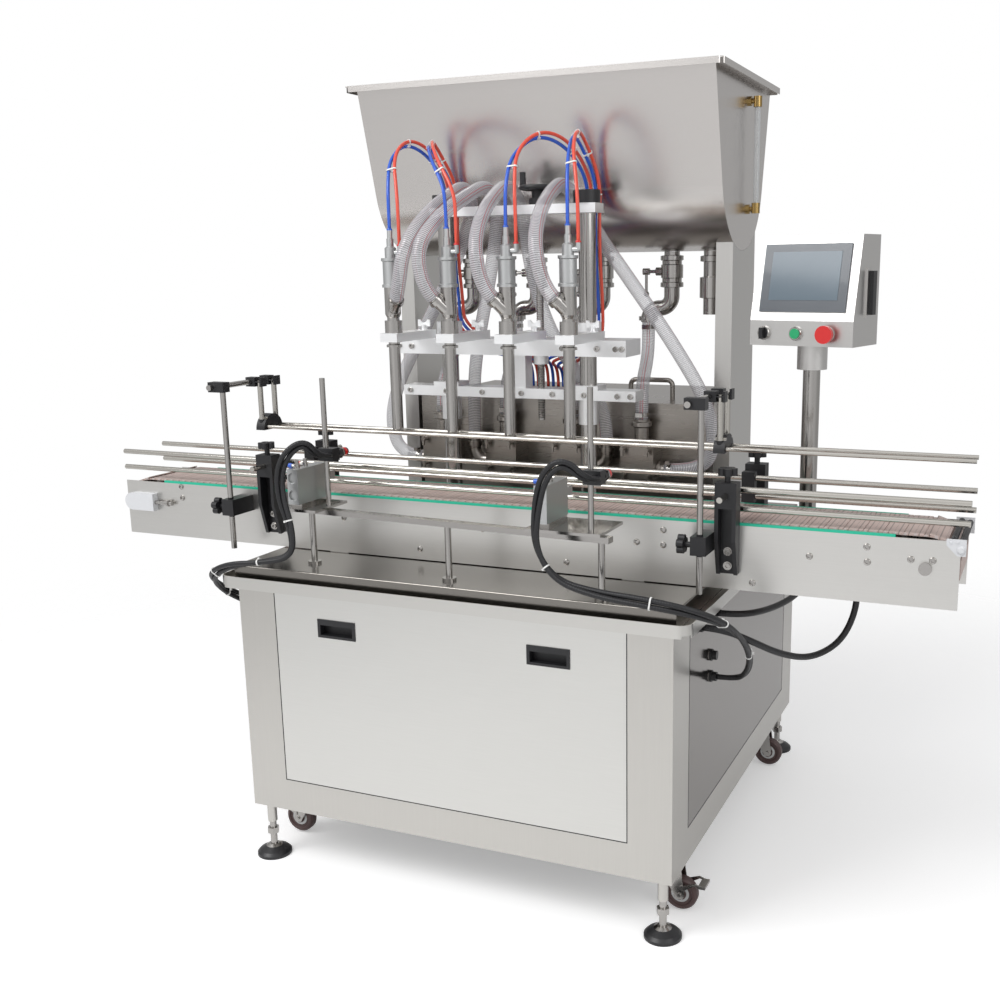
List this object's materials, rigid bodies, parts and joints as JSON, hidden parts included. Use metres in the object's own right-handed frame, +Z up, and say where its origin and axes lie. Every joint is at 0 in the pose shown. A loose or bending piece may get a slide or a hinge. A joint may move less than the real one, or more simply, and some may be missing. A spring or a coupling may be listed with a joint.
{
  "type": "liquid filling machine",
  "caption": "Benchtop-height piston filling machine on a stainless cabinet: hopper, filling nozzles on a lift, slat conveyor with guide rails, air stop gates and a swivelling touch panel.",
  "frame": {"origin": "on the floor under the middle of the conveyor", "axes": "+X along the conveyor towards the operator's panel, +Y from the operator's side to the back, +Z up"},
  "size_m": [2.032, 1.183, 1.79],
  "materials": {
    "stainless": "brushed",
    "polished_steel": "polished",
    "aluminium": "satin",
    "black_plastic": "matt",
    "grey_rubber": "matt",
    "slat_plastic": "matt",
    "green_strip": "satin",
    "clear_hose": "clear",
    "air_hose": "gloss",
    "brass": "polished",
    "clear_glass": "clear",
    "green_button": "gloss",
    "red_button": "gloss",
    "drive_paint": "satin"
  },
  "bodies": {
    "machine": {"cabinet_frame": "stainless", "cabinet_panels": "stainless", "deck_tray": "stainless", "hopper": "stainless", "hopper_columns": "stainless", "conveyor_frame": "stainless", "hopper_outlets": "stainless", "metering_pumps": "stainless", "pump_housing": "stainless", "control_pole": "stainless", "stop_mounts": "stainless", "guard_stands": "stainless", "guide_posts": "polished_steel", "levelling_feet": "polished_steel", "top_plate": "aluminium", "stop_cylinders": "aluminium", "rail_brackets": "black_plastic", "black_cables": "black_plastic", "conveyor_gearmotor": "black_plastic", "slat_chain": "slat_plastic", "wear_strips": "green_strip", "feed_hoses": "clear_hose", "inlet_hoses": "clear_hose", "air_tubes": "air_hose", "level_gauge_fittings": "brass", "level_gauge_tube": "clear_glass", "pump_drive": "drive_paint"},
    "nozzle_rack_body": {"nozzle_rack": "aluminium", "nozzle_bodies": "polished_steel", "nozzle_actuators": "aluminium"},
    "nozzle_rod_body": {"nozzle_rods": "polished_steel"},
    "lift_screw_body": {"lift_handwheel": "black_plastic"},
    "piston_body": {"metering_pistons": "polished_steel"},
    "drive_shaft_body": {"drive_shaft": "stainless"},
    "idler_shaft_body": {"idler_shaft": "stainless"},
    "front_rail_body": {"front_guide_rails": "polished_steel"},
    "back_rail_body": {"back_guide_rails": "polished_steel"},
    "guard_body": {"bottle_guard": "polished_steel"},
    "gate_left_body": {"stop_gate_left": "aluminium"},
    "gate_right_body": {"stop_gate_right": "aluminium"},
    "panel_box_body": {"control_box": "stainless", "hmi_screen": "black_plastic"},
    "selector_body": {"selector_switch": "black_plastic"},
    "start_body": {"start_button": "green_button"},
    "stop_body": {"stop_button": "red_button"},
    "lock_body": {"door_lock": "black_plastic"},
    "front_panel_body": {"front_panel": "stainless", "panel_pulls": "black_plastic"},
    "lever_1_body": {"outlet_lever_1": "polished_steel"},
    "fork_1_body": {"castor_fork_1": "stainless"},
    "wheel_1_body": {"castor_wheel_1": "grey_rubber"},
    "lever_2_body": {"outlet_lever_2": "polished_steel"},
    "fork_2_body": {"castor_fork_2": "stainless"},
    "wheel_2_body": {"castor_wheel_2": "grey_rubber"},
    "lever_3_body": {"outlet_lever_3": "polished_steel"},
    "fork_3_body": {"castor_fork_3": "stainless"},
    "wheel_3_body": {"castor_wheel_3": "grey_rubber"},
    "lever_4_body": {"outlet_lever_4": "polished_steel"},
    "fork_4_body": {"castor_fork_4": "stainless"},
    "wheel_4_body": {"castor_wheel_4": "grey_rubber"}
  },
  "joints": [
    {"name": "nozzle_lift", "type": "slide", "parent": "machine", "child": "nozzle_rack_body", "axis": [0, 0, 1], "range_m": [-0.06, 0.05], "deforming": ["feed_hoses", "air_tubes"]},
    {"name": "lift_screw_turn", "type": "hinge", "parent": "machine", "child": "lift_screw_body", "pos_m": [0.012, -0.065, 1.53], "axis": [0, 0, 1], "range_deg": [-2200, 1850]},
    {"name": "nozzle_valve_stroke", "type": "slide", "parent": "nozzle_rack_body", "child": "nozzle_rod_body", "axis": [0, 0, 1], "range_m": [0, 0.012]},
    {"name": "piston_stroke", "type": "slide", "parent": "machine", "child": "piston_body", "axis": [0, 1, 0], "range_m": [0, 0.12]},
    {"name": "drive_shaft_turn", "type": "hinge", "parent": "machine", "child": "drive_shaft_body", "pos_m": [0.94, -0.265, 0.794], "axis": [0, 1, 0], "continuous": true},
    {"name": "idler_shaft_turn", "type": "hinge", "parent": "machine", "child": "idler_shaft_body", "pos_m": [-0.94, -0.265, 0.794], "axis": [0, 1, 0], "continuous": true},
    {"name": "front_rail_slide", "type": "slide", "parent": "machine", "child": "front_rail_body", "axis": [0, 1, 0], "range_m": [-0.006, 0.04]},
    {"name": "back_rail_slide", "type": "slide", "parent": "machine", "child": "back_rail_body", "axis": [0, 1, 0], "range_m": [-0.02, 0.03]},
    {"name": "guard_height", "type": "slide", "parent": "machine", "child": "guard_body", "axis": [0, 0, 1], "range_m": [-0.03, 0.06]},
    {"name": "left_gate_stroke", "type": "slide", "parent": "machine", "child": "gate_left_body", "axis": [0, 1, 0], "range_m": [0, 0.038]},
    {"name": "right_gate_stroke", "type": "slide", "parent": "machine", "child": "gate_right_body", "axis": [0, 1, 0], "range_m": [0, 0.038]},
    {"name": "panel_box_swivel", "type": "hinge", "parent": "machine", "child": "panel_box_body", "pos_m": [0.64, 0.002, 1.188], "axis": [0, 0, 1], "range_deg": [-60, 45]},
    {"name": "selector_turn", "type": "hinge", "parent": "panel_box_body", "child": "selector_body", "pos_m": [0.53961, -0.04933, 1.215], "axis": [0.2351, 0.972, 0], "range_deg": [-45, 45]},
    {"name": "start_press", "type": "slide", "parent": "panel_box_body", "child": "start_body", "axis": [0.2351, 0.972, 0], "range_m": [0, 0.004], "stiffness_N_per_m": 300},
    {"name": "stop_press", "type": "slide", "parent": "panel_box_body", "child": "stop_body", "axis": [0.2351, 0.972, 0], "range_m": [0, 0.006], "stiffness_N_per_m": 300},
    {"name": "lock_turn", "type": "hinge", "parent": "panel_box_body", "child": "lock_body", "pos_m": [0.75936, -0.0171, 1.336], "axis": [0.972, -0.2351, 0], "range_deg": [0, 90]},
    {"name": "front_panel_pull", "type": "slide", "parent": "machine", "child": "front_panel_body", "axis": [0, -1, 0], "range_m": [0, 0.15]},
    {"name": "outlet_lever_1_turn", "type": "hinge", "parent": "machine", "child": "lever_1_body", "pos_m": [-0.3265, 0.18, 1.348], "axis": [1, 0, 0], "range_deg": [0, 90]},
    {"name": "outlet_lever_2_turn", "type": "hinge", "parent": "machine", "child": "lever_2_body", "pos_m": [-0.1455, 0.18, 1.348], "axis": [1, 0, 0], "range_deg": [0, 90]},
    {"name": "outlet_lever_3_turn", "type": "hinge", "parent": "machine", "child": "lever_3_body", "pos_m": [0.0355, 0.18, 1.348], "axis": [1, 0, 0], "range_deg": [0, 90]},
    {"name": "outlet_lever_4_turn", "type": "hinge", "parent": "machine", "child": "lever_4_body", "pos_m": [0.2165, 0.18, 1.348], "axis": [1, 0, 0], "range_deg": [0, 90]},
    {"name": "castor_1_swivel", "type": "hinge", "parent": "machine", "child": "fork_1_body", "pos_m": [-0.479, -0.403, 0.117], "axis": [0, 0, 1], "continuous": true},
    {"name": "castor_1_roll", "type": "hinge", "parent": "fork_1_body", "child": "wheel_1_body", "pos_m": [-0.507, -0.403, 0.0405], "axis": [0, 1, 0], "continuous": true},
    {"name": "castor_2_swivel", "type": "hinge", "parent": "machine", "child": "fork_2_body", "pos_m": [-0.479, 0.403, 0.117], "axis": [0, 0, 1], "continuous": true},
    {"name": "castor_2_roll", "type": "hinge", "parent": "fork_2_body", "child": "wheel_2_body", "pos_m": [-0.507, 0.403, 0.0405], "axis": [0, 1, 0], "continuous": true},
    {"name": "castor_3_swivel", "type": "hinge", "parent": "machine", "child": "fork_3_body", "pos_m": [0.447, -0.403, 0.117], "axis": [0, 0, 1], "continuous": true},
    {"name": "castor_3_roll", "type": "hinge", "parent": "fork_3_body", "child": "wheel_3_body", "pos_m": [0.475, -0.403, 0.0405], "axis": [0, 1, 0], "continuous": true},
    {"name": "castor_4_swivel", "type": "hinge", "parent": "machine", "child": "fork_4_body", "pos_m": [0.447, 0.403, 0.117], "axis": [0, 0, 1], "continuous": true},
    {"name": "castor_4_roll", "type": "hinge", "parent": "fork_4_body", "child": "wheel_4_body", "pos_m": [0.475, 0.403, 0.0405], "axis": [0, 1, 0], "continuous": true}
  ],
  "couplings": [
    {"joint": "lift_screw_turn", "follows": "nozzle_lift", "rad_per_m": 628.32},
    {"joint": "idler_shaft_turn", "follows": "drive_shaft_turn", "ratio": 1}
  ]
}
